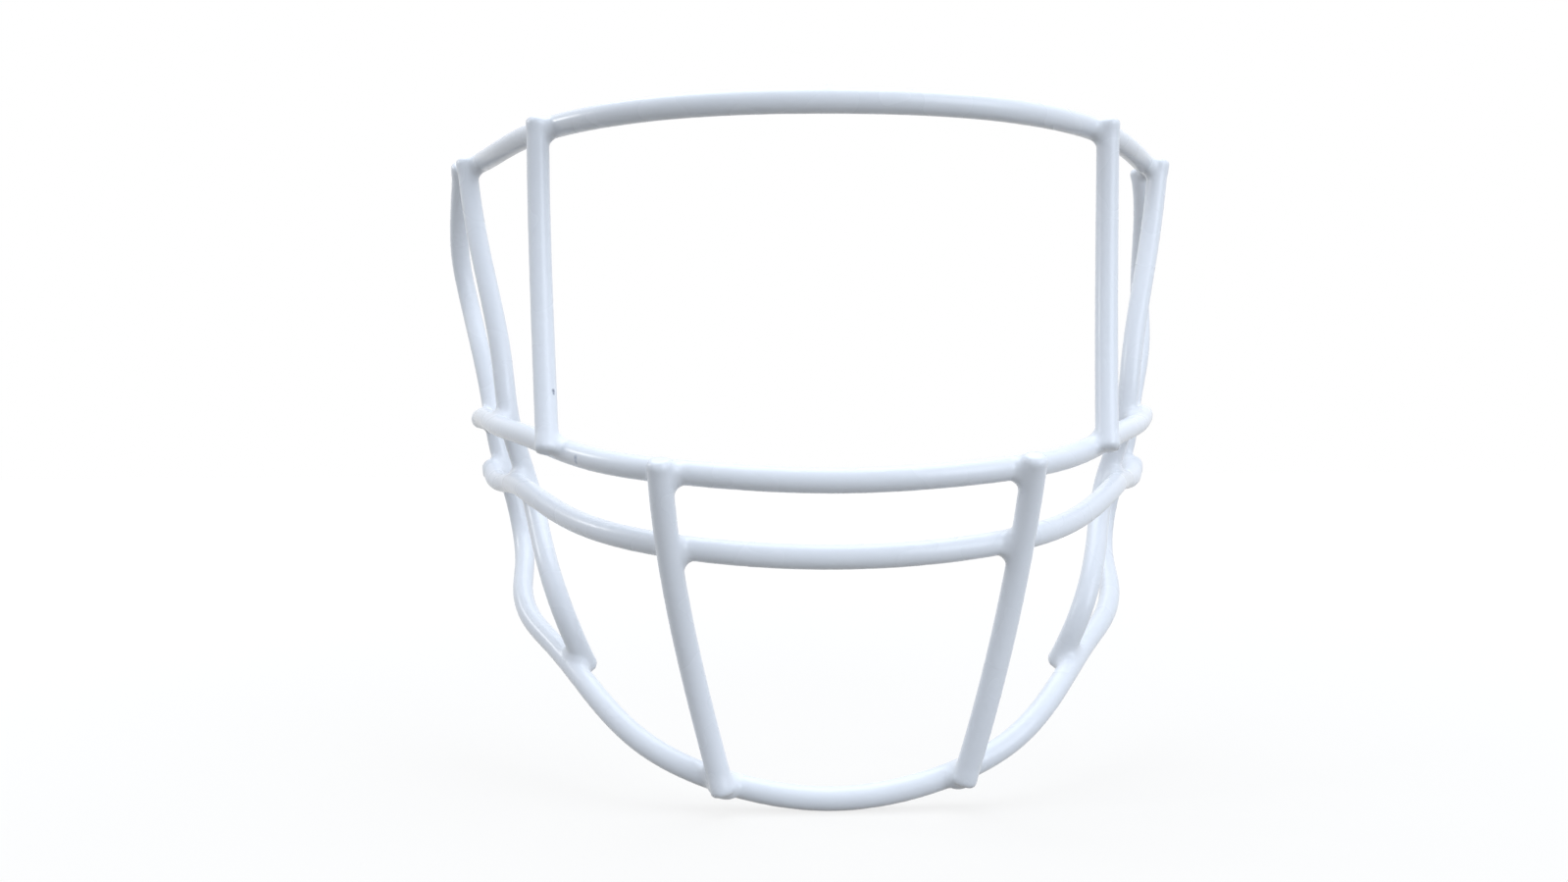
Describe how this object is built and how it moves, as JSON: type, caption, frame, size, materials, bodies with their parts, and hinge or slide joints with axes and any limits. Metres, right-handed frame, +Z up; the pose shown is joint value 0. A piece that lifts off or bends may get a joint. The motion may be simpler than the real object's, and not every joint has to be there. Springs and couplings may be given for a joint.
{
  "type": "football helmet facemask",
  "caption": "Welded wire cage face guard for a football helmet: curved brow and cross bars, uprights and a rear hoop round the chin, all coated in glossy white plastic.",
  "frame": {"origin": "middle of the brow bar, on its centre line", "axes": "+X to the wearer's left, +Y back toward the helmet, +Z up"},
  "size_m": [0.2547, 0.1382, 0.2018],
  "materials": {
    "white_coating": "glossy dipped plastic",
    "steel_wire": "plain drawn steel",
    "weld_metal": "resistance weld"
  },
  "bodies": {
    "root": {"brow_bar_wire": "steel_wire", "rear_hoop_wire": "steel_wire", "upper_cross_bar_wire": "steel_wire", "lower_cross_bar_wire": "steel_wire", "eye_upright_left_wire": "steel_wire", "eye_upright_right_wire": "steel_wire", "front_upright_left_wire": "steel_wire", "front_upright_right_wire": "steel_wire", "side_upright_left_wire": "steel_wire", "side_upright_right_wire": "steel_wire", "brow_bar_coating": "white_coating", "rear_hoop_coating": "white_coating", "upper_cross_bar_coating": "white_coating", "lower_cross_bar_coating": "white_coating", "eye_upright_left_coating": "white_coating", "eye_upright_right_coating": "white_coating", "front_upright_left_coating": "white_coating", "front_upright_right_coating": "white_coating", "side_upright_left_coating": "white_coating", "side_upright_right_coating": "white_coating", "rear_hoop_top_weld_left": "weld_metal", "rear_hoop_top_weld_right": "weld_metal", "upper_cross_bar_end_weld_left": "weld_metal", "upper_cross_bar_end_weld_right": "weld_metal", "lower_cross_bar_end_weld_left": "weld_metal", "lower_cross_bar_end_weld_right": "weld_metal", "eye_upright_top_weld_left": "weld_metal", "eye_upright_top_weld_right": "weld_metal", "eye_upright_foot_weld_left": "weld_metal", "eye_upright_foot_weld_right": "weld_metal", "front_upright_top_weld_left": "weld_metal", "front_upright_top_weld_right": "weld_metal", "front_upright_middle_weld_left": "weld_metal", "front_upright_middle_weld_right": "weld_metal", "front_upright_foot_weld_left": "weld_metal", "front_upright_foot_weld_right": "weld_metal", "side_upright_top_weld_left": "weld_metal", "side_upright_top_weld_right": "weld_metal", "side_upright_upper_weld_left": "weld_metal", "side_upright_upper_weld_right": "weld_metal", "side_upright_lower_weld_left": "weld_metal", "side_upright_lower_weld_right": "weld_metal", "side_upright_foot_weld_left": "weld_metal", "side_upright_foot_weld_right": "weld_metal"}
  },
  "joints": []
}
